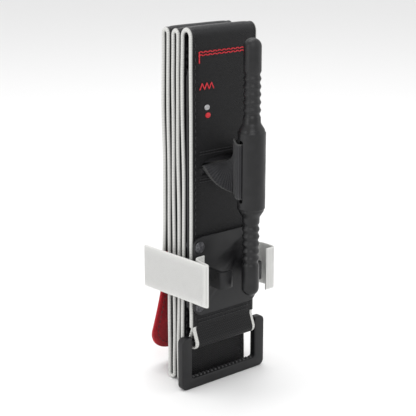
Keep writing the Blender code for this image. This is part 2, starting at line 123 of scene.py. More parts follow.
# Clip and rivets.
CLIP_CORNER, CLIP_FRONT, CLIP_BACK = 0.0042, 0.0029, 0.0015
HOOK_INNER, HOOK_OUTER, HOOK_MOUTH, HOOK_THICK = 0.0106, 0.0128, 0.0054, 0.0013
HOOK_OUTER_BEND, HOOK_INNER_BEND, HOOK_HALF_LENGTH, HOOK_SINK = 0.0024, 0.0014, 0.004, 0.0019
RIVET_HOLE, RIVET_SHANK, RIVET_RISE = 0.0018, 0.0015, 0.0009
RIVETS = range(1, 5)
RIVET_DOME = [(0.00022, 0.0006), (0.0, 0.0008), (0.00002, 0.0011)]
RIVET_DOME += [(0.00012, 0.0016), (0.00032, 0.0021), (0.00060, 0.0025)]

# Time strap and its label. Its foot is the middle of the tape where it is sewn down.
TIME_THICK, TIME_FOOT, TIME_LEAN, TIME_START = 0.0008, 0.0036, radians(3), 0.0012
TIME_SWELL, TIME_TACK_PITCH = 0.00012, 0.0017
LABEL_START, LABEL_END, LABEL_HALF, LABEL_CORNER = 0.0100, 0.0370, 0.0080, 0.0012
LABEL_INNER, LABEL_OUTER, LINE_WIDTH = 0.00058, 0.00102, 0.0003
INK_LOW, INK_HIGH = 0.00001, 0.00006

# Buckle and the strap's loop round its bar.
BUCKLE_WINDOW, BUCKLE_FOOT, BUCKLE_BAR = 0.0193, 0.0050, 0.0018
FOOT_CORNER, TOP_CORNER, WINDOW_CORNER, BAR_SINK = 0.003, 0.0025, 0.0012, 0.002
TOOTH_COUNT, TOOTH_PITCH = 17, 0.0022
LOOP_THICK, LOOP_WRAP, LOOP_RUN, LOOP_JOIN = 0.0010, 0.0027, 0.00058, 0.0050

# Red tip.
TIP_THICK, TIP_FLARE, TIP_CORNER, TIP_END_HALF = 0.0016, radians(16), 0.012, 0.004
TIP_CURL, TIP_BEND, TIP_START, TIP_STEPS = 0.0009, 0.0006, 0.0018, 36
HEM_LAP, HEM_THICK, HEM_RIM, HEM_SPARE, HEM_RUN = 0.0110, 0.0030, 0.0020, 0.0007, 0.0026
BORDER_INSET, BORDER_START, BORDER_PITCH = 0.0024, 0.004, 0.0028

# Stage.
FLOOR_HALF, LAMP_AIM = 6.0, (0, 0, 0.085)
CAMERA_AIM, CAMERA_DISTANCE = (-0.0034, 0.0028, 0.082), 0.525


def joint_point(name):
    return Vector(JOINTS[name]["pos_m"])


def middle_of(name):
    """A CAD node's box as its middle and its half size."""
    pairs = list(zip(*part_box(name)))
    return Place(*((a + b) / 2 for a, b in pairs)), Place(*((b - a) / 2 for a, b in pairs))


@functools.cache
def panel_box(index):
    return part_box(f"sleeve_panel_{index}")


def panel_y(index):
    low, high = panel_box(index)
    return (low.y + high.y) / 2


def front_of(index):
    """Which way along Y a panel's brushed side faces: the strap turns over at each fold."""
    return -1 if index % 2 else 1


# ---- materials


def shade(colour, share, lift=0.0):
    return tuple(min(1.0, c * share + lift) for c in colour)


class Tree:
    """A material's nodes, with short calls for the few kinds used here."""

    def __init__(self, name, roughness, metallic=0.0, specular=0.5):
        self.material = bpy.data.materials.new(name)
        self.material.use_nodes = True
        self.nodes = self.material.node_tree.nodes
        self.shader = self.nodes["Principled BSDF"].inputs
        self.set("Roughness", roughness)
        self.set("Metallic", metallic)
        self.set("Specular IOR Level", specular)

    def put(self, socket, value):
        """Links or sets a socket. A tuple is a colour."""
        if isinstance(value, bpy.types.NodeSocket):
            self.material.node_tree.links.new(value, socket)
        else:
            socket.default_value = (*value, 1) if isinstance(value, tuple) else value

    def set(self, name, value):
        self.put(self.shader[name], value)

    def node(self, kind, *values, **settings):
        """A node with its settings, and values for its first sockets or, with a capital, for named ones."""
        node = self.nodes.new("ShaderNode" + kind)
        for name, value in settings.items():
            if name[0].isupper():
                self.put(node.inputs[name], value)
            else:
                setattr(node, name, value)
        for socket, value in zip(node.inputs, values):
            self.put(socket, value)
        return node

    def math(self, operation, a, b=0.0):
        return self.node("Math", a, b, operation=operation).outputs[0]

    def plus(self, a, b):
        return self.math("ADD", a, b)

    def times(self, a, b):
        return self.math("MULTIPLY", a, b)

    def wave(self, value, pitch, shift=0.0):
        return self.math("SINE", self.plus(self.times(value, 2 * pi / pitch), shift))

    def ridges(self, value, pitch):
        return self.math("ABSOLUTE", self.wave(value, 2 * pitch))

    def ramp(self, value, low, high, to_low=0.0, to_high=1.0):
        ends = (low, high, to_low, to_high)
        return self.node("MapRange", value, *ends, interpolation_type="SMOOTHSTEP").outputs[0]

    def mix(self, share, a, b):
        node = self.node("Mix", share, data_type="RGBA")
        self.put(node.inputs[6], a)
        self.put(node.inputs[7], b)
        return node.outputs[2]

    def attribute(self, name):
        return self.node("Attribute", attribute_name=name).outputs["Fac"]

    def object_place(self):
        return self.node("TexCoord").outputs["Object"]

    def strap_place(self, own):
        """Where a point is, across and along in metres: the strap's own coordinates, or else X and Z."""
        place = self.node("UVMap", uv_map="strap").outputs["UV"] if own else self.object_place()
        split = self.node("SeparateXYZ", place).outputs
        return place, split[0], split[1 if own else 2]

    def noise(self, place, scale, detail=3.0, roughness=0.55):
        return self.node("TexNoise", place, Scale=scale, Detail=detail, Roughness=roughness).outputs["Fac"]

    def bump(self, height, distance, strength):
        node = self.node("Bump", Strength=strength, Distance=distance, Height=height)
        self.set("Normal", node.outputs[0])


def weave_height(tree, across, along, pitch):
    """A plain weave: threads that rise and dip in turn, both ways, over ribs across the tape."""
    crossing = tree.times(tree.wave(across, pitch[0]), tree.wave(along, pitch[1]))
    rib = tree.ridges(along, pitch[1])
    return tree.plus(tree.times(crossing, 0.35), tree.times(rib, 0.5))


def brushed_field(tree, colour, height, place, ways, pile):
    """Blends the looped pile of a brushed field, with painted shade between its loops, over a weave's colour
    and height.
    """
    field = tree.attribute("pile")
    stray = tree.times(tree.noise(place, 900, 2), 7.0)
    loops = tree.times(*(tree.wave(way, 0.00085, stray) for way in ways))
    tufts = tree.plus(tree.times(loops, 0.35), tree.noise(place, 6500, 3, 0.7))
    # Painted shade: the pile is darker where its tufts sink, between the loops.
    shaded_pile = tree.mix(tree.ramp(tufts, 0.2, 0.9), shade(pile, 0.55), pile)
    kept = tree.times(height, tree.math("SUBTRACT", 1.0, tree.times(field, 0.65)))
    added = tree.times(tree.times(tufts, 0.7), field)
    return tree.mix(field, colour, shaded_pile), tree.plus(kept, added)


def webbing_material(name, body, weave_shade, pale, pile=None, pitch=(0.0009, 0.0009), sheen=0.04, own_place=True):
    """Woven tape: body is the thread's colour, the second colour is painted shade for the weave's low parts,
    pale the selvedge's colour, pile a brushed field's; a painted sheen lightens the folds' outer bend.
    """
    tree = Tree(name, 0.50, specular=0.20)
    place, across, along = tree.strap_place(own_place)
    height = weave_height(tree, across, along, pitch)
    height = tree.plus(height, tree.times(tree.noise(place, 2600, 2), 0.35))
    patches = tree.ramp(tree.noise(place, 95, 4), 0.52, 0.75, 0.0, 0.30)
    # Painted shade: the weave's low parts, found by the same height as the bump, take the darker second colour.
    colour = tree.mix(tree.ramp(height, 0.05, 0.75), weave_shade, body)
    colour = tree.mix(patches, colour, shade(body, 2.2, 0.006))
    if pile is not None:
        colour, height = brushed_field(tree, colour, height, place, (across, along), pile)
    bend = tree.attribute("bend")
    # Painted sheen: the colour is lightened towards a satin grey round the fold's outer bend, where the bend
    # mark is high; the same mark also lowers the roughness there.
    colour = tree.mix(tree.times(bend, 0.75), colour, shade(body, 2.6, 0.010))
    tree.set("Roughness", tree.ramp(bend, 0.0, 1.0, 0.50, 0.36))
    rim_colour = tree.mix(tree.ramp(tree.ridges(along, 0.0007), 0.0, 0.5), shade(pale, 0.6), pale)
    tree.set("Base Color", tree.mix(tree.attribute("pale"), colour, rim_colour))
    tree.bump(height, 0.00022, 0.9)
    tree.set("Sheen Weight", sheen)
    tree.set("Sheen Roughness", 0.45)
    return tree.material


def plastic_material(name, body, roughness=0.42, grain=2400):
    """Moulded nylon: fine grain, faint flow marks, and rubbed edges."""
    tree = Tree(name, roughness, specular=0.34)
    place = tree.object_place()
    flow = tree.noise(place, 160, 4)
    ragged = tree.times(tree.math("SUBTRACT", flow, 0.5), 0.10)
    edge = tree.plus(tree.node("NewGeometry").outputs["Pointiness"], ragged)
    colour = tree.mix(tree.ramp(flow, 0.35, 0.75), body, shade(body, 1.5, 0.003))
    worn = tree.ramp(edge, 0.56, 0.66, 0.0, 0.45)
    tree.set("Base Color", tree.mix(worn, colour, (0.060, 0.060, 0.063)))
    tree.set("Roughness", tree.ramp(flow, 0.3, 0.7, roughness - 0.08, roughness + 0.12))
    tree.bump(tree.noise(place, grain, 2, 0.6), 0.00004, 0.55)
    return tree.material


def thread_material(name, body):
    """Sewing thread, with its ply twisting round each stitch."""
    tree = Tree(name, 0.5, specular=0.45)
    ply = tree.noise(tree.object_place(), 4200, 1)
    # Painted shade: the thread is darker where the ply's bump is low.
    tree.set("Base Color", tree.mix(tree.ramp(ply, 0.3, 0.7), shade(body, 0.6), body))
    tree.bump(ply, 0.00006, 0.6)
    return tree.material


def metal_material(name):
    """Dark plated steel with fine scratches."""
    tree = Tree(name, 0.34, metallic=0.9)
    scratch = tree.noise(tree.object_place(), 900, 5, 0.7)
    tree.set("Base Color", tree.mix(tree.ramp(scratch, 0.4, 0.7), (0.05, 0.05, 0.055), (0.16, 0.16, 0.17)))
    tree.set("Roughness", tree.ramp(scratch, 0.3, 0.7, 0.28, 0.5))
    tree.bump(scratch, 0.00003, 0.4)
    return tree.material


def label_material(name):
    """A coated write-on tape: smooth, with a faint weave under the coat and smudges."""
    tree = Tree(name, 0.38)
    place = tree.object_place()
    smudge = tree.ramp(tree.noise(place, 120, 5), 0.45, 0.8, 0.0, 0.5)
    tree.set("Base Color", tree.mix(smudge, (0.84, 0.85, 0.84), (0.66, 0.66, 0.64)))
    tree.bump(tree.noise(place, 3200, 1), 0.00003, 0.5)
    return tree.material


def print_material(name, body):
    """Ink that has worn thin in places."""
    tree = Tree(name, 0.55)
    wear = tree.noise(tree.object_place(), 1500, 4)
    tree.set("Base Color", tree.mix(tree.ramp(wear, 0.45, 0.8), body, shade(body, 1.6, 0.05)))
    tree.bump(wear, 0.00002, 0.4)
    return tree.material


INNER_COLOURS = {"body": (0.035, 0.035, 0.038), "weave_shade": (0.008, 0.008, 0.009), "pale": (0.06, 0.06, 0.06)}
FINISH = {
    "webbing": webbing_material(
        "woven_black", (0.007, 0.007, 0.0078), (0.002, 0.002, 0.0023), (0.60, 0.60, 0.58),
        pile=(0.008, 0.008, 0.009), pitch=(0.0014, 0.0012),
    ),
    "inner": webbing_material("woven_inner", **INNER_COLOURS, sheen=0.1),
    "inner_hidden": webbing_material("woven_inner_hidden", **INNER_COLOURS, own_place=False),
    "white": webbing_material(
        "woven_white", (0.66, 0.66, 0.645), (0.46, 0.46, 0.445), (0.70, 0.70, 0.68),
        pile=(0.72, 0.72, 0.705), pitch=(0.0010, 0.0010),
    ),
    "red": webbing_material(
        "woven_red", (0.46, 0.008, 0.018), (0.17, 0.003, 0.007), (0.50, 0.012, 0.022), pitch=(0.0009, 0.0008)
    ),
    "plastic": plastic_material("moulded_black", (0.006, 0.006, 0.0068)),
    "rod": plastic_material("moulded_rod", (0.0065, 0.0065, 0.0072), 0.36, 1800),
    "plate": plastic_material("moulded_plate", (0.009, 0.009, 0.010), 0.5, 1500),
    "metal": metal_material("rivet_metal_dark"),
    "label": label_material("coated_label"),
    "print_grey": print_material("print_grey", (0.18, 0.18, 0.19)),
    "print_pale": print_material("print_pale", (0.34, 0.34, 0.35)),
    "print_red": print_material("print_red", (0.50, 0.012, 0.02)),
    "print_black": print_material("print_black", (0.012, 0.010, 0.011)),
    "thread_black": thread_material("thread_black", (0.022, 0.022, 0.024)),
    "thread_white": thread_material("thread_white", (0.70, 0.70, 0.68)),
    "thread_red": thread_material("thread_red", (0.66, 0.02, 0.035)),
}


# ---- mesh tools


def mesh_of(name, points, faces):
    """A mesh whose closed islands all face outward."""
    mesh = bpy.data.meshes.new(name)
    mesh.from_pydata([tuple(p) for p in points], [], faces)
    work = bmesh.new()
    work.from_mesh(mesh)
    bmesh.ops.recalc_face_normals(work, faces=work.faces)
    work.to_mesh(mesh)
    work.free()
    return mesh


def added(name, data):
    """A new object in the scene."""
    obj = bpy.data.objects.new(name, data)
    bpy.context.scene.collection.objects.link(obj)
    return obj


def smoothed(mesh, sharp):
    mesh.shade_smooth()
    mesh.set_sharp_from_angle(angle=radians(sharp))


def dressed(name, mesh, finish, sharp=45):
    """A new object with one finish, smooth but for its sharp edges."""
    mesh.materials.append(FINISH[finish])
    smoothed(mesh, sharp)
    return added(name, mesh)


def tubes(name, runs):
    """Tubes through rings of points: capped, or joined up where a run ends with the ring it starts with."""
    points, faces = [], []
    for rings in runs:
        base, count = len(points), len(rings[0])
        closed = rings[-1] is rings[0]
        own = rings[:-1] if closed else rings
        points += [p for ring in own for p in ring]
        for r in range(len(rings) - 1):
            here, there = base + r * count, base + (r + 1) % len(own) * count
            for i in range(count):
                j = (i + 1) % count
                faces.append((here + i, here + j, there + j, there + i))
        if not closed:
            faces.append(tuple(range(base, base + count)))
            faces.append(tuple(range(len(points) - count, len(points))))
    return mesh_of(name, points, faces)


def islands(name, runs, finish, sharp=45):
    return dressed(name, tubes(name, runs), finish, sharp)


def skin(name, rings, finish, places=None, marks=None, sharp=45):
    """One capped tube. places hold (across, along) and marks hold a value, for each point."""
    mesh = tubes(name, [rings])
    if places is not None:
        layer = mesh.uv_layers.new(name="strap")
        for loop in mesh.loops:
            layer.data[loop.index].uv = places[loop.vertex_index]
    for mark, values in (marks or {}).items():
        mesh.attributes.new(mark, "FLOAT", "POINT").data.foreach_set("value", values)
    return dressed(name, mesh, finish, sharp)


def section_ring():
    """The strap's whole section, anticlockwise, as (across, out) in metres. out > 0 is the brushed side."""
    top = [(x * MM, t * MM) for x, t in HALF_SECTION]
    ring = top[::-1] + [(-x, t) for x, t in top[1:]]
    return ring + [(x, -t) for x, t in ring[-2:0:-1]]


SECTION = section_ring()


def smooth_step(value, low, high):
    share = min(1.0, max(0.0, (value - low) / (high - low)))
    return share * share * (3 - 2 * share)


def section_marks(rings_count):
    """Where the strap's section is pale (the rim) and where it is brushed (the field of the out > 0 side)."""
    pale = [smooth_step(abs(x), PALE_FROM, PALE_FROM + MARK_EDGE) for x, _ in SECTION]
    pile = [
        1 - smooth_step(abs(x), PILE_HALF - MARK_EDGE, PILE_HALF + MARK_EDGE) if out > 0 else 0.0
        for x, out in SECTION
    ]
    return {"pale": pale * rings_count, "pile": pile * rings_count}


def on_circle(centre, radius, turns):
    return [(centre[0] + radius * cos(a), centre[1] + radius * sin(a)) for a in turns]


def arc(centre, radius, start, end, steps):
    return on_circle(centre, radius, [start + (end - start) * k / steps for k in range(steps + 1)])


def rounded(half_u, half_v, corner, steps, centre):
    """A rectangle with round corners."""
    outline = []
    for quarter, (su, sv) in enumerate(((1, 1), (-1, 1), (-1, -1), (1, -1))):
        at = (centre[0] + su * (half_u - corner), centre[1] + sv * (half_v - corner))
        outline += arc(at, corner, quarter * pi / 2, (quarter + 1) * pi / 2, steps)
    return outline


def finer(path, times):
    """A 2-D path with rounded runs: Chaikin's corner cutting, ends kept."""
    for _ in range(times):
        cut = [path[0]]
        for a, b in zip(path, path[1:]):
            cut.append((a[0] * 0.75 + b[0] * 0.25, a[1] * 0.75 + b[1] * 0.25))
            cut.append((a[0] * 0.25 + b[0] * 0.75, a[1] * 0.25 + b[1] * 0.75))
        path = cut + [path[-1]]
    return path


def tape_section(width, thick, rim=TAPE_RIM, steps=8):
    """A thin tape's section as (across, out): flat, with round rims, and points where a rim's colour ends."""
    half, t = width / 2, thick / 2
    edge = half - max(rim, 1.2 * t)
    inner = edge - 0.0002
    flat = [half - t, edge] + [inner - 2 * inner * k / steps for k in range(steps + 1)]
    flat += [-flat[1], -flat[0]]
    left = arc((-half + t, 0), t, radians(135), radians(225), 2)
    right = arc((half - t, 0), t, radians(-45), radians(45), 2)
    return [(x, t) for x in flat] + left + [(x, -t) for x in flat[::-1]] + right


def tape(name, path, width, thick, finish, place, brushed=0.0, rim=TAPE_RIM):
    """A tape along a 2-D path. place(across, u, v) gives the point; out > 0 lies to the path's left."""
    section = tape_section(width, thick, rim)
    rings, places, pale, pile = [], [], [], []
    along = 0.0
    for i, (u, v) in enumerate(path):
        (u0, v0), (u1, v1) = path[max(i - 1, 0)], path[min(i + 1, len(path) - 1)]
        size = hypot(u1 - u0, v1 - v0)
        nu, nv = (v0 - v1) / size, (u1 - u0) / size
        along += dist((u, v), path[max(i - 1, 0)])
        rings.append([place(x, u + out * nu, v + out * nv) for x, out in section])
        for x, out in section:
            places.append((x, along))
            pale.append(1.0 if abs(x) > width / 2 - rim - 0.0001 else 0.0)
            pile.append(1.0 if out * brushed > 0 and abs(x) < width / 2 - TAPE_BORDER else 0.0)
    return skin(name, rings, finish, places, {"pale": pale, "pile": pile}, 60)


def stitch_mesh(name, rows, finish, length=0.0021, width=0.00042, height=0.00030):
    """Stitches as small spindles. rows hold (centre, direction, outward normal)."""
    points, faces = [], []
    for centre, direction, normal in rows:
        forward, up = direction.normalized(), normal.normalized()
        side = forward.cross(up).normalized()
        base = len(points)
        points.append(centre - forward * length * 0.5 - up * height * 0.4)
        for share, swell in STITCH_SWELLS:
            for k in range(STITCH_SIDES):
                a = 2 * pi * k / STITCH_SIDES
                offset = side * cos(a) * width / 2 * swell + up * sin(a) * height * swell
                points.append(centre + forward * length * share + offset)
        points.append(centre + forward * length * 0.5 - up * height * 0.4)
        last = len(points) - 1
        end = last - STITCH_SIDES
        for k in range(STITCH_SIDES):
            j = (k + 1) % STITCH_SIDES
            faces.append((base, base + 1 + k, base + 1 + j))
            faces.append((end + j, end + k, last))
            for here in range(base + 1, end, STITCH_SIDES):
                there = here + STITCH_SIDES
                faces.append((here + k, there + k, there + j, here + j))
    return dressed(name, mesh_of(name, points, faces), finish, 80)


def modified(obj, kind, **settings):
    """Applies one modifier."""
    modifier = obj.modifiers.new(kind, kind)
    for name, value in settings.items():
        setattr(modifier, name, value)
    graph = bpy.context.evaluated_depsgraph_get()
    mesh = bpy.data.meshes.new_from_object(obj.evaluated_get(graph))
    obj.modifiers.clear()
    obj.data = mesh


def joined(obj, other, operation="UNION"):
    """Applies a Boolean of two closed meshes and removes the second."""
    modified(obj, "BOOLEAN", operation=operation, solver="EXACT", object=other)
    bpy.data.objects.remove(other)


def welded(obj):
    """Merges the near-coincident points that Booleans leave."""
    work = bmesh.new()
    work.from_mesh(obj.data)
    bmesh.ops.remove_doubles(work, verts=work.verts, dist=WELD)
    bmesh.ops.dissolve_degenerate(work, edges=work.edges, dist=WELD)
    work.to_mesh(obj.data)
    work.free()


def bevelled(obj, width, segments, angle):
    welded(obj)
    modified(obj, "BEVEL", width=width, segments=segments, limit_method="ANGLE", angle_limit=radians(angle))
    welded(obj)
    smoothed(obj.data, 45)


def along_x(w, u, v):
    return (w, u, v)


def along_y(w, u, v):
    return (u, w, v)


def along_z(w, u, v):
    return (u, v, w)


def turned_at(x, y, z, widen=1.0):
    """Where a shape goes that is turned about a line along Y."""
    return lambda along, u, v: (x + widen * u, y + along, z + v)


def upright_at(x, y, z):
    """Where a shape goes that runs along Z."""
    return lambda along, u, v: (x + u, y + v, z + along)


def prism(name, outline, low, high, place, finish):
    return skin(name, [[place(w, u, v) for u, v in outline] for w in (low, high)], finish, sharp=30)


def lathe(name, profile, segments, place, finish):
    """A turned shape from (along, radius) pairs. place(along, u, v) gives the point."""
    turns = [2 * pi * k / segments for k in range(segments)]
    rings = [[place(along, u, v) for u, v in on_circle((0, 0), radius, turns)] for along, radius in profile]
    return skin(name, rings, finish, sharp=40)


# ---- strap


def fold_z(index):
    return joint_point(f"strap_unfold_{index}").z


def panel_run(index):
    """(lowest Z, highest Z) of a panel, up to its folds' axes."""
    low = panel_box(index)[0]
    bottom = low.z if index in (1, PANEL_COUNT) else fold_z(index - 1 if index % 2 else index)
    return bottom, fold_z(index if index % 2 else index - 1)


def shifts(index):
    """How far a panel lies to one side at its bottom and at its top."""
    before = 0.0 if index == 1 else FOLD_SHIFT[index - 2]
    after = TIP_SHIFT if index == PANEL_COUNT else FOLD_SHIFT[index - 1]
    return (before, after) if index % 2 else (after, before)


def panel_point(index, across, out, z):
    """A point of a panel at rest: across its width, out from its middle, at height z."""
    low, high = panel_run(index)
    share = (z - low) / (high - low)
    envelope = smooth_step(share, 0.0, 0.12) * (1 - smooth_step(share, 0.88, 1.0))
    bottom, top = shifts(index)
    side = bottom + (top - bottom) * share
    swell, bow, curl = (FIRST_SWELL, 0.0, 0.0) if index == 1 else (SWELL, BOW, CURL)
    side += envelope * bow * sin(9 * share + index * 1.7)
    wave = swell * (sin(7.5 * share + 0.35 * index) + 0.35 * sin(21 * share + 2.1 * index))
    wave += curl * sin(5 * share + index) * (across / SEAM_X) ** 2
    return Vector((across + side, panel_y(index) + front_of(index) * out + envelope * wave, z))


def strap_start(index):
    """Metres of strap before a panel, counted from the buckle."""
    total = 0.0
    for k in range(1, index):
        low, high = panel_run(k)
        total += high - low + pi * (panel_y(k + 1) - panel_y(k)) / 2
    return total


def body_of(index):
    return "base" if index == 1 else f"panel_{index}"


def make_panel(index):
    low, high = panel_run(index)
    steps = round((high - low) / PANEL_STEP)
    rings, places = [], []
    for k in range(steps + 1):
        z = low + (high - low) * k / steps
        along = strap_start(index) + ((z - low) if index % 2 else (high - z))
        rings.append([panel_point(index, x, out, z) for x, out in SECTION])
        places += [(x, along) for x, _ in SECTION]
    panel = skin(f"webbing_panel_{index}", rings, "webbing", places, section_marks(steps + 1), 60)
    if index == 1:
        cut_window(panel)
    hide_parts(f"sleeve_panel_{index}")
    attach(panel, body_of(index))


def cut_window(panel):
    """The slit in panel 1's front wall, where the inner band comes out to the rod."""
    middle, y = middle_of("inner_band_riser")[0].z, panel_y(1)
    u, v = WINDOW_HALF
    outline = finer([(-u, -v), (u, -v), (u, v), (-u, v), (-u, -v)], 2)[:-1]
    outline = [(u, v + middle) for u, v in outline]
    joined(panel, prism("window_cutter", outline, y - 0.003, y + 0.0002, along_y, "webbing"), "DIFFERENCE")


def make_fold(index):
    front, back = panel_y(index), panel_y(index + 1)
    centre, radius = (front + back) / 2, (back - front) / 2
    up, stretch = (1, TOP_FOLD_STRETCH) if index % 2 else (-1, 1.0)
    low, high = panel_run(index)
    start = strap_start(index) + high - low
    z = fold_z(index)
    rings, places, bend = [], [], []
    for k in range(FOLD_STEPS + 1):
        a = pi * k / FOLD_STEPS
        ring = []
        for x, out in SECTION:
            reach = radius - front_of(index) * out
            rise = up * reach * stretch * sin(a)
            ring.append(Vector((x + FOLD_SHIFT[index - 1], centre - reach * cos(a), z + rise)))
        rings.append(ring)
        places += [(x, start + radius * a) for x, _ in SECTION]
        # The bend mark is high round the middle of the fold; the webbing finish paints a lighter sheen there.
        bend += [sin(a)] * len(SECTION)
    marks = section_marks(FOLD_STEPS + 1) | {"bend": bend}
    fold = skin(f"webbing_fold_{index}", rings, "webbing", places, marks, 60)
    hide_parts(f"sleeve_fold_{index}", f"inner_fold_{index}")
    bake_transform(fold)


def seam_stitches(index):
    """A row along each side of a panel, front and back."""
    low, high = panel_run(index)
    rows = []
    count = int((high - low - 0.004) / SEAM_PITCH)
    for side in (-1, 1):
        for face in (-1, 1):
            for k in range(count):
                z = low + 0.0025 + (k + 0.5) * SEAM_PITCH
                here = panel_point(index, side * SEAM_X, face * SEAM_OUT, z)
                along = panel_point(index, side * SEAM_X, face * SEAM_OUT, z + 0.001) - here
                rows.append((here, along, Vector((0, front_of(index) * face, 0))))
    stitches = stitch_mesh(f"seam_stitches_{index}", rows, "thread_black")
    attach(stitches, body_of(index))


def line_rows(index, start, end, count, out, lean=0.0):
    """Stitches end to end between (across, height) points of a panel. Leaning ones lean both ways in turn."""
    (x0, z0), (x1, z1) = start, end
    rows = []
    for k in range(count):
        share = (k + 0.5) / count
        here = panel_point(index, x0 + (x1 - x0) * share, out, z0 + (z1 - z0) * share)
        direction = Vector((x1 - x0, 0, z1 - z0 + lean * (x0 - x1 if k % 2 else x1 - x0)))
        rows.append((here, direction, Vector((0, front_of(index) * out, 0))))
    return rows


def cross_rows(index, heights, half, out, pitch, lean=0.0):
    """Rows of stitches across a panel, for bar tacks and seams."""
    count = int(2 * half / pitch)
    rows = []
    for z in heights:
        rows += line_rows(index, (-half, z), (count * pitch - half, z), count, out, lean)
    return rows


# ---- windlass


def rod_profile(half, boss):
    """The rod's upper half as (along, radius), from the middle of the boss to the end."""
    step = boss - BOSS_EDGE
    profile = [(0.0, boss), (BOSS_FLAT, boss), (BOSS_SHOULDER, step)]
    for k in range(1, 9):
        fall = (step - ROD_RADIUS) * smooth_step(k / 8, 0, 1)
        profile.append((BOSS_SHOULDER + TAPER_RUN * k / 8, step - fall))
    for k in range(RIB_COUNT):
        for share in (0.12, 0.25, 0.38, 0.5, 0.62, 0.75, 0.88):
            groove = RIB_DEPTH * sin(pi * share) ** 2
            profile.append((RIB_FROM + (k + share) * RIB_PITCH, ROD_RADIUS - groove))
        profile.append((RIB_FROM + (k + 1) * RIB_PITCH, ROD_RADIUS))
    for a in (radians(d) for d in range(0, 91, 10)):
        drop = ROD_END_DROP * (1 - cos(a))
        profile.append((half - ROD_END + ROD_END * sin(a), ROD_RADIUS - drop))
    return profile


def make_rod():
    """The rod, with a stout boss, rounded ribs on its grips, and its slot."""
    centre, half = middle_of("windlass_rod")
    profile = rod_profile(half.z, half.x)
    whole = [(-a, r) for a, r in profile[::-1]] + profile[1:]
    rod = lathe("rod_moulded", whole, ROD_SIDES, upright_at(*centre), "rod")
    end = arc((0.0, SLOT_HALF_LENGTH - SLOT_HALF_HEIGHT), SLOT_HALF_HEIGHT, pi, 0.0, 8)
    outline = [(centre.y + u, centre.z + v) for u, v in end + [(-u, -v) for u, v in end]]
    joined(rod, prism("slot_cutter", outline, -SLOT_REACH, SLOT_REACH, along_x, "rod"), "DIFFERENCE")
    smoothed(rod.data, 32)
    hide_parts("windlass_rod")
    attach(rod, "windlass")
    make_parting_lines(centre, profile)


def make_parting_lines(centre, profile):
    """The faint ridge that the mould leaves along each grip, on the side away from the band."""
    grip = [(along, radius) for along, radius in profile if PARTING_FROM < along < PARTING_TO]
    corners = ((-PARTING_HALF, PARTING_SINK), (0.0, -PARTING_PROUD), (PARTING_HALF, PARTING_SINK))
    for sign, name in ((1, "parting_line_upper"), (-1, "parting_line_lower")):
        rings = []
        for along, radius in grip:
            rings.append([(centre.x + u, centre.y - radius + v, centre.z + sign * along) for u, v in corners])
        ridge = skin(name, rings, "rod")
        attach(ridge, "windlass")


def make_bight():
    """The inner band's loop round the boss and through the slot."""
    centre, half = middle_of("windlass_rod")
    boss = half.x
    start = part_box("inner_band_bight")[1].y
    leg = (BIGHT_LEG, start - centre.y)
    wrap = boss + BAND_THICK
    touch = atan2(leg[0], leg[1]) + acos(wrap / hypot(*leg))
    last = acos(BIGHT_TURN_IN / wrap)
    side = [leg] + arc((0.0, 0.0), wrap, pi / 2 - touch, pi / 2 - last, 10)
    # Over the slot's edge and in to the rod's middle.
    side += [(wrap - 0.00005, 0.0010), (wrap - 0.00025, 0.0004), (wrap - 0.0008, 0.0001)]
    side += [(boss - 0.0012, 0.0), (0.001, 0.0)]
    path = finer(side + [(-u, v) for u, v in side[::-1]], 1)
    band = tape("band_bight", path, BAND_WIDTH, BAND_THICK, "inner", upright_at(*centre))
    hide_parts("inner_band_bight")
    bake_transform(band)


def make_riser():
    """Both runs of the inner band, from the slit to the rod: a quarter turn, bunched in the middle."""
    low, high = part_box("inner_band_riser")
    axis = joint_point("windlass_turn")
    start, end = high.y, low.y - 0.0004
    twist_from = panel_y(1) - 0.0013
    section = tape_section(BAND_WIDTH, BAND_THICK, steps=12)
    for name, side in (("band_riser_front", 1), ("band_riser_back", -1)):
        rings, places, pale = [], [], []
        for k in range(RISER_STEPS + 1):
            y = start + (end - start) * k / RISER_STEPS
            share = min(1.0, max(0.0, (y - twist_from) / (end - twist_from)))
            swell = sin(pi * share)
            turn = pi / 2 * smooth_step(share, -0.1, 1.1)
            ring = []
            for x, out in section:
                cup = RISER_CUP * swell * cos(pi * x / BAND_WIDTH)
                u = x * (1 - RISER_WAIST * swell)
                v = out + side * (RISER_APART * (1 + 0.9 * share) + cup)
                across, up = u * cos(turn) - v * sin(turn), u * sin(turn) + v * cos(turn)
                ring.append((axis.x + across, y, axis.z + up))
            rings.append(ring)
            places += [(x, abs(y - start) * 1.6) for x, _ in section]
            pale += [1.0 if abs(x) > BAND_PALE_FROM else 0.0 for x, _ in section]
        run = skin(name, rings, "inner", places, {"pale": pale}, 60)
        if side > 0:
            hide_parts("inner_band_riser")
        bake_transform(run)


def hook_outline(side, top):
    """A hook in X-Y: the wall and the tip that curls over the trough, with a lead-in slope."""
    base, under = panel_y(1) - HOOK_SINK, top + HOOK_THICK
    points = [(HOOK_INNER, base), (HOOK_OUTER, base)]
    bend = HOOK_OUTER_BEND
    points += arc((HOOK_OUTER - bend, top + bend), bend, 0.0, -pi / 2, 6)
    points += [(HOOK_MOUTH + u, top + v) for u, v in ((0.0016, 0.0), (0.0004, 0.0004), (0.0, 0.0008))]
    points += [(HOOK_MOUTH, under - 0.0003), (HOOK_MOUTH + 0.0003, under + 0.0001)]
    bend = HOOK_INNER_BEND
    turns = [radians(d) for d in (-90, -67, -45, -22, 0)]
    points += on_circle((HOOK_INNER - bend, under + bend), bend, turns)
    points += [(HOOK_INNER, base - 0.0022), (HOOK_INNER - 0.0006, base - 0.0011)]
    return [(side * u, v) for u, v in points]


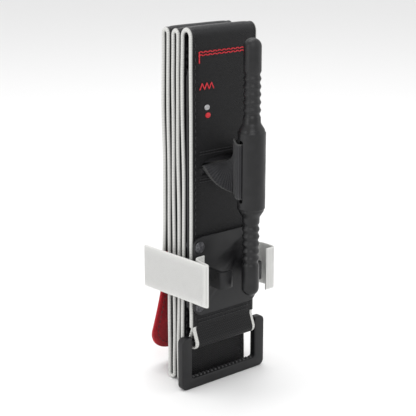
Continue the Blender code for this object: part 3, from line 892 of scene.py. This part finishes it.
def make_clip():
    """The clip: a base with round corners, a hook on each side, and the rivets' holes."""
    middle, half = middle_of("windlass_clip")
    top, y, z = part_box("windlass_clip")[0].y, panel_y(1), middle.z
    outline = rounded(half.x, half.z, CLIP_CORNER, 6, (0.0, z))
    clip = prism("clip_moulded", outline, y - CLIP_FRONT, y - CLIP_BACK, along_y, "plastic")
    for side in (-1, 1):
        outline = hook_outline(side, top)
        hook = prism("hook", outline, z - HOOK_HALF_LENGTH, z + HOOK_HALF_LENGTH, along_z, "plastic")
        joined(clip, hook)
    for number in RIVETS:
        at = middle_of(f"rivet_{number}")[0]
        profile = [(-0.004, RIVET_HOLE), (0.001, RIVET_HOLE)]
        joined(clip, lathe("hole", profile, 24, turned_at(at.x, y, at.z), "plastic"), "DIFFERENCE")
    bevelled(clip, 0.00035, 2, 40)
    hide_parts("windlass_clip")
    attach(clip, "base")


def make_rivets():
    """Domed rivets with a dimple, as (depth, radius) from the front, closed over the plate behind."""
    for number in RIVETS:
        at, half = middle_of(f"rivet_{number}")
        head, back = half.x, 2 * half.y
        profile = RIVET_DOME + [(RIVET_RISE - 0.0001, head), (RIVET_RISE, head - 0.0001)]
        profile += [(RIVET_RISE, RIVET_SHANK), (back - 0.0006, RIVET_SHANK), (back - 0.0006, head - 0.0001)]
        profile += [(back - 0.0004, head), (back, head - 0.0004)]
        rivet = lathe(f"rivet_turned_{number}", profile, 32, turned_at(at.x, at.y - half.y, at.z), "metal")
        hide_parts(f"rivet_{number}")
        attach(rivet, "base")


# ---- time strap


def make_time_strap():
    """The white strap: its sewn root and catch, the flap that the label is on, and the bend between."""
    root_middle, root_half = middle_of("time_strap_root")
    middle, width = root_middle.z, 2 * root_half.z
    axis = joint_point("time_strap_close")
    y1 = panel_y(1)
    foot = y1 - TIME_FOOT

    def place(across, u, v):
        return (u, v, middle + across)

    def white(name, path, brushed=0.0):
        return tape(name, path, width, TIME_THICK, "white", place, brushed)

    def sewn_down(side):
        return [(side * 0.0138, foot), (side * 0.0172, foot), (side * 0.0190, foot - 0.0008)]

    end = (-0.0207, y1 - 0.0139)
    root = sewn_down(-1) + [(-0.0199, foot - 0.0030), (-0.0203, y1 - 0.0100), end]
    root_piece = white("time_strap_sewn_root", finer(root, 3))
    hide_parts("time_strap_root")
    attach(root_piece, "base")

    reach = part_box("time_strap_catch")[1].x - TIME_THICK / 2
    catch = sewn_down(1) + [(reach - 0.0001, foot - 0.0030), (reach, y1 - 0.0100), (reach, y1 - 0.0128)]
    catch += [(reach - 0.0006, y1 - 0.0139), (reach - 0.0018, y1 - 0.0140), (0.0143, y1 - 0.0140)]
    catch_piece = white("time_strap_sewn_catch", finer(catch, 3), -1.0)
    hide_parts("time_strap_catch")
    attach(catch_piece, "base")

    def along(distance, out=0.0):
        across = out * cos(TIME_LEAN) - distance * sin(TIME_LEAN)
        return (axis.x + across, axis.y + distance * cos(TIME_LEAN) + out * sin(TIME_LEAN))

    run = (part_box("time_strap")[1].y - axis.y) / cos(TIME_LEAN) - TIME_START
    flap = [along(TIME_START + run * k / 30, TIME_SWELL * sin(k / 6)) for k in range(31)]
    flap_piece = white("time_strap_flap", flap, 1.0)
    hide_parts("time_strap")
    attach(flap_piece, "time_flap")

    turn = [end, (end[0] - 0.0001, end[1] - 0.0007), (axis.x + 0.0008, axis.y - 0.0006)]
    turn += [(axis.x + 0.0001, axis.y - 0.0002), along(0.0006), along(0.0014)]
    hinge = white("time_strap_turn", finer(turn, 3))
    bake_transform(hinge)

    rows = []
    half = width / 2 - 0.0014
    for x in (-0.0148, -0.0164, 0.0148, 0.0164):
        for k in range(int(2 * half / TIME_TACK_PITCH)):
            here = Vector((x, foot - TIME_THICK / 2, middle - half + (k + 0.5) * TIME_TACK_PITCH))
            rows.append((here, Vector((0, 0, 1)), Vector((0, -1, 0))))
    tack = stitch_mesh("time_strap_tacks", rows, "thread_white", 0.0015)
    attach(tack, "base")
    make_label(along, middle)


def make_label(along, middle):
    """The write-on label, with ruled lines and a plain clock face drawn as thin ink."""

    def place(out, distance, across):
        x, y = along(distance, out)
        return (x, y, middle + across)

    centre = ((LABEL_START + LABEL_END) / 2, 0.0)
    outline = rounded((LABEL_END - LABEL_START) / 2, LABEL_HALF, LABEL_CORNER, 5, centre)
    label = prism("label_coated", outline, LABEL_INNER, LABEL_OUTER, place, "label")
    bevelled(label, 0.00012, 2, 40)
    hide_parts("write_on_label")
    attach(label, "time_flap")

    lines = [((0.0215, v), (0.0350, v), 0.00022) for v in (-0.0045, -0.0015, 0.0015, 0.0045)]
    lines.append(((0.0200, -0.0062), (0.0200, 0.0062), LINE_WIDTH))
    clock = (0.0155, 0.0)
    rim = arc(clock, 0.0034, 0, 2 * pi, 24)
    lines += [(a, b, LINE_WIDTH) for a, b in zip(rim, rim[1:])]
    lines += [(clock, (0.0177, 0.0), LINE_WIDTH), (clock, (0.0155, 0.0016), LINE_WIDTH)]
    runs = []
    for (d0, a0), (d1, a1), width in lines:
        share = width / 2 / hypot(d1 - d0, a1 - a0)
        nd, na = (a0 - a1) * share, (d1 - d0) * share
        corners = [(d0 + nd, a0 + na), (d1 + nd, a1 + na), (d1 - nd, a1 - na), (d0 - nd, a0 - na)]
        runs.append([[place(LABEL_OUTER + level, *p) for p in corners] for level in (INK_LOW, INK_HIGH)])
    ink = islands("label_ink", runs, "print_grey")
    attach(ink, "time_flap")


# ---- buckle


def make_buckle():
    """The buckle's frame with rounded corners, a round bar, and a row of teeth along the foot."""
    low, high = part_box("buckle")
    axis = joint_point("buckle_swing")
    half, top, window = high.x, high.z, BUCKLE_WINDOW
    right = arc((half - FOOT_CORNER, FOOT_CORNER), FOOT_CORNER, -pi / 2, 0, 8)
    right += arc((half - TOP_CORNER, top - TOP_CORNER), TOP_CORNER, 0, pi / 2, 8)
    right += [(window, top)]
    right += arc((window - WINDOW_CORNER, BUCKLE_FOOT + WINDOW_CORNER), WINDOW_CORNER, 0, -pi / 2, 6)
    outline = right + [(-u, v) for u, v in right[::-1]]
    buckle = prism("buckle_moulded", outline, low.y, high.y, along_y, "plastic")
    bevelled(buckle, 0.0007, 4, 60)
    reach = window + BAR_SINK
    circle = on_circle((axis.y, axis.z), BUCKLE_BAR, [2 * pi * k / 32 for k in range(32)])
    joined(buckle, prism("bar", circle, -reach, reach, along_x, "plastic"))
    smoothed(buckle.data, 35)
    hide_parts("buckle")
    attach(buckle, "buckle_frame")
    make_teeth((low.y + high.y) / 2)


def make_teeth(middle):
    """The row of blunt teeth along the buckle's foot, each a small frustum sunk into it."""
    root, peak = (0.00085, 0.0012, BUCKLE_FOOT - 0.0006), (0.00025, 0.0006, BUCKLE_FOOT + 0.0007)
    runs = []
    for k in range(TOOTH_COUNT):
        x = (k - (TOOTH_COUNT - 1) / 2) * TOOTH_PITCH
        runs.append([[(x + sx * u, middle + sy * v, z) for sx, sy in SQUARE] for u, v, z in (root, peak)])
    teeth = islands("buckle_teeth", runs, "plastic", 20)
    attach(teeth, "buckle_frame")


def make_buckle_loop():
    """The strap's loop round the buckle's bar."""
    width = 2 * middle_of("buckle_loop")[1].x
    bar = joint_point("buckle_swing")
    touch = atan2(LOOP_RUN, LOOP_JOIN) + acos(LOOP_WRAP / hypot(LOOP_RUN, LOOP_JOIN))
    top, join = panel_box(1)[0].z + 0.0001, bar.z + LOOP_JOIN + 0.001
    path = [(bar.y + LOOP_RUN, top), (bar.y + LOOP_RUN, join)]
    path += arc((bar.y, bar.z), LOOP_WRAP, pi / 2 - touch, touch - 1.5 * pi, 30)
    path += [(bar.y - LOOP_RUN, join), (bar.y - LOOP_RUN, top)]
    loop = tape("buckle_loop_webbing", path, width, LOOP_THICK, "webbing", along_x, rim=0.0015)
    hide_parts("buckle_loop")
    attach(loop, "base")


# ---- red tip


def make_tip():
    """The red free end, its hem on the last panel, a stitched border, and plain dark marks."""
    axis = joint_point("tip_peel")
    half = middle_of("red_tip")[1].x
    length = (axis.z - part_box("red_tip")[0].z) / cos(TIP_FLARE) - 0.0002

    def half_width(distance):
        left = length - distance
        if left >= TIP_CORNER:
            return half
        return half - TIP_CORNER + sqrt(max(0.0, TIP_CORNER**2 - (TIP_CORNER - left) ** 2))

    def place(across, distance, out):
        curl = TIP_CURL * smooth_step(distance, 0.0, length) * (across / half) ** 2
        reach = out + curl - TIP_BEND * sin(pi * distance / length)
        y = axis.y + distance * sin(TIP_FLARE) + reach * cos(TIP_FLARE)
        z = axis.z - distance * cos(TIP_FLARE) + reach * sin(TIP_FLARE)
        return Vector((across + TIP_SHIFT, y, z))

    rings, places = [], []
    for k in range(TIP_STEPS + 1):
        distance = TIP_START + (length - TIP_START) * (1 - (1 - k / TIP_STEPS) ** 1.6)
        section = tape_section(2 * max(half_width(distance), TIP_END_HALF), TIP_THICK, steps=14)
        rings.append([place(x, distance, out) for x, out in section])
        places += [(x, distance) for x, _ in section]
    tip = skin("red_tip_webbing", rings, "red", places, sharp=60)
    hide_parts("red_tip")
    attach(tip, "tip")
    make_tip_hem(half, place)
    make_tip_border(half_width, length, place)
    make_tip_marks(place)


def make_tip_border(half_width, length, place):
    """Stitches along the tip's sides and round its end, a little in from the edge, on each face."""
    edge = []
    for k in range(61):
        distance = BORDER_START + (length - BORDER_INSET - BORDER_START) * k / 60
        edge.append((half_width(min(length, distance + BORDER_INSET)) - BORDER_INSET, distance))
    path = edge + [(-x, d) for x, d in edge[::-1]]
    rows = []
    for face in (-1, 1):
        out = face * TIP_THICK / 2
        normal = (place(0, 0.01, face * 0.001) - place(0, 0.01, 0)).normalized()
        walk = 0.0
        for (x0, d0), (x1, d1) in zip(path, path[1:]):
            dx, dd = x1 - x0, d1 - d0
            size = hypot(dx, dd)
            while walk < size:
                x, d = x0 + dx * walk / size, d0 + dd * walk / size
                here = place(x, d, out)
                rows.append((here, place(x + dx * 0.1, d + dd * 0.1, out) - here, normal))
                walk += BORDER_PITCH
            walk -= size
    border = stitch_mesh("red_tip_stitches", rows, "thread_black", 0.0019)
    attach(border, "tip")


def make_tip_hem(half, place):
    """The red tape's lap over the last panel's end, running on into the start of the tip."""
    low, _ = panel_run(PANEL_COUNT)
    thick = tape_section(2 * half + HEM_SPARE, HEM_THICK, HEM_RIM, 14)
    thin = tape_section(2 * half, TIP_THICK, HEM_RIM, 14)
    rings, places = [], []
    for k in range(5):
        z = low + HEM_LAP * (1 - k / 4)
        rings.append([panel_point(PANEL_COUNT, x, out, z) for x, out in thick])
        places += [(x, (k + 1) * HEM_LAP / 4) for x, _ in thick]
    for k in range(1, 6):
        share = k / 5
        ring = [place(x, HEM_RUN * share, o1 + (o2 - o1) * share) for (x, o1), (_, o2) in zip(thick, thin)]
        rings.append(ring)
        places += [(x, 1.25 * HEM_LAP + k * 0.0005) for x, _ in thick]
    hem = skin("red_tip_hem", rings, "red", places, sharp=60)
    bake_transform(hem)
    rows = []
    for face in (-1, 1):
        heights = [low + 0.0085, low + 0.0070, low + 0.0025]
        rows += cross_rows(PANEL_COUNT, heights, half - 0.0025, face * HEM_THICK / 2, 0.0022)
    tacks = stitch_mesh("red_hem_stitches", rows, "thread_black", 0.0017)
    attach(tacks, "panel_6")


def make_tip_marks(place):
    """A plain ring and three chevrons on each face, as thin ink."""
    turns = [2 * pi * k / 28 for k in range(28)]
    ring = list(zip(*(on_circle((0.0, 0.0118), reach, turns) for reach in (0.0038, 0.0024))))
    runs = []
    for face in (-1, 1):

        def slab(rim):
            """Rings round the ink between each pair of (across, distance) points."""
            low, high = (face * (TIP_THICK / 2 + level) for level in (INK_LOW, INK_HIGH))
            return [[place(*a, low), place(*b, low), place(*b, high), place(*a, high)] for a, b in rim]

        rings = slab(ring)
        runs.append(rings + rings[:1])
        for tip in (0.0224, 0.0272, 0.0320):
            arms = [(x, tip - 0.55 * abs(x)) for x in (-0.0062, -0.0031, 0.0, 0.0031, 0.0062)]
            runs.append(slab([((x, d), (x, d + 0.0020)) for x, d in arms]))
    ink = islands("red_tip_marks", runs, "print_black")
    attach(ink, "tip")


# ---- details


def bracket(index):
    """Leaning stitches across a panel, a little under its upper fold."""
    high = panel_run(index)[1]
    return cross_rows(index, [high - drop for drop in BRACKET_ROWS], BRACKET_HALF, FACE_OUT, 0.0013, 0.55)


def make_tacks():
    """Bar tacks: black ones at the buckle's loop and round the slit, red ones near the top of the stack."""
    low, high = panel_run(1)
    slit = joint_point("windlass_turn").z
    rows = cross_rows(1, [low + 0.0016, low + 0.0034], 0.0155, FACE_OUT, 0.0016)
    heights = [slit + rise for rise in (-0.0056, -0.0068, 0.0056, 0.0068)]
    rows += cross_rows(1, heights, 0.0145, FACE_OUT, 0.0016)
    tacks = stitch_mesh("bar_tacks_black", rows, "thread_black", 0.0015, 0.0005)
    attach(tacks, "base")
    red = bracket(1)
    for x in (-BRACKET_FEET, BRACKET_FEET):
        red += line_rows(1, (x, high - 0.0070), (x, high - 0.0112), 4, FACE_OUT)
    for start, end in zip(ZIGZAG, ZIGZAG[1:]):
        red += line_rows(1, start, end, 3, FACE_OUT)
    marks = stitch_mesh("bar_tacks_red", red, "thread_red", 0.0016, 0.0006, 0.00035)
    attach(marks, "base")


def make_back_bracket():
    """The same bracket on the last panel, the back of the stack."""
    marks = stitch_mesh("bar_tacks_red_back", bracket(PANEL_COUNT), "thread_red", 0.0016, 0.0006, 0.00035)
    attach(marks, "panel_6")


def make_dots():
    """A grey dot and a red dot printed under the zigzag mark."""
    profile = [(-0.00016, 0.0010), (-0.00008, 0.0012), (0.0003, 0.0012)]
    for name, x, z, finish, slot in DOTS:
        dot = lathe(name, profile, 20, turned_at(x, panel_point(1, x, DOT_OUT, z).y, z, 1.2), finish)
        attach(dot, "base")


def dress_carried_nodes():
    """CAD nodes whose shape is right keep it and get the finer finishes."""
    for name, node in frame["nodes"].items():
        if name.startswith("inner_band_"):
            paint(node, "inner_hidden")
        elif name == "stabilising_plate":
            paint(node, "plate")


def paint(node, finish):
    node.data.materials.clear()
    node.data.materials.append(FINISH[finish])


# ---- stage


def softbox(name, place, size, power):
    data = bpy.data.lights.new(name, "AREA")
    data.shape = "RECTANGLE"
    data.size, data.size_y = size
    data.energy = power
    lamp = added(name, data)
    lamp.location = place
    lamp.rotation_euler = (Vector(LAMP_AIM) - Vector(place)).to_track_quat("-Z", "Y").to_euler()


def make_stage():
    scene = bpy.context.scene
    scene.view_settings.view_transform = "Standard"
    world = bpy.data.worlds.new("studio")
    scene.world = world
    world.use_nodes = True
    background = world.node_tree.nodes["Background"]
    background.inputs[0].default_value = (1, 1, 1, 1)
    background.inputs[1].default_value = 0.90
    mesh = bpy.data.meshes.new("floor")
    mesh.from_pydata([(x * FLOOR_HALF, y * FLOOR_HALF, 0) for x, y in SQUARE], [], [(0, 1, 2, 3)])
    white = Tree("floor_white", 0.9)
    white.set("Base Color", (0.86, 0.86, 0.86))
    mesh.materials.append(white.material)
    floor = added("floor", mesh)
    softbox("key", (-0.55, -0.75, 0.75), (0.7, 0.7), 3.0)
    softbox("fill", (0.75, -0.65, 0.40), (0.6, 0.9), 1.2)
    softbox("side", (-0.95, 0.15, 0.25), (0.25, 0.8), 1.6)
    softbox("top", (0.0, 0.25, 1.0), (0.9, 0.5), 4.0)


def make_camera():
    """The photo's direction: from the front's left side and a little above."""
    azimuth, elevation = radians(-40), radians(16)
    level = cos(elevation)
    back = Vector((sin(azimuth) * level, -cos(azimuth) * level, sin(elevation)))
    data = bpy.data.cameras.new("camera")
    data.lens = 100
    data.sensor_width = 36
    data.clip_start = 0.01
    camera = added("camera", data)
    camera.location = Vector(CAMERA_AIM) + back * CAMERA_DISTANCE
    camera.rotation_euler = (-back).to_track_quat("-Z", "Y").to_euler()
    bpy.context.scene.camera = camera


def main():
    make_stage()
    make_camera()
    for index in range(1, PANEL_COUNT + 1):
        make_panel(index)
        seam_stitches(index)
    for index in range(1, PANEL_COUNT):
        make_fold(index)
    make_rod()
    make_bight()
    make_riser()
    make_clip()
    make_rivets()
    make_time_strap()
    make_buckle()
    make_buckle_loop()
    make_tip()
    make_tacks()
    make_dots()
    make_back_bracket()
    dress_carried_nodes()


main()
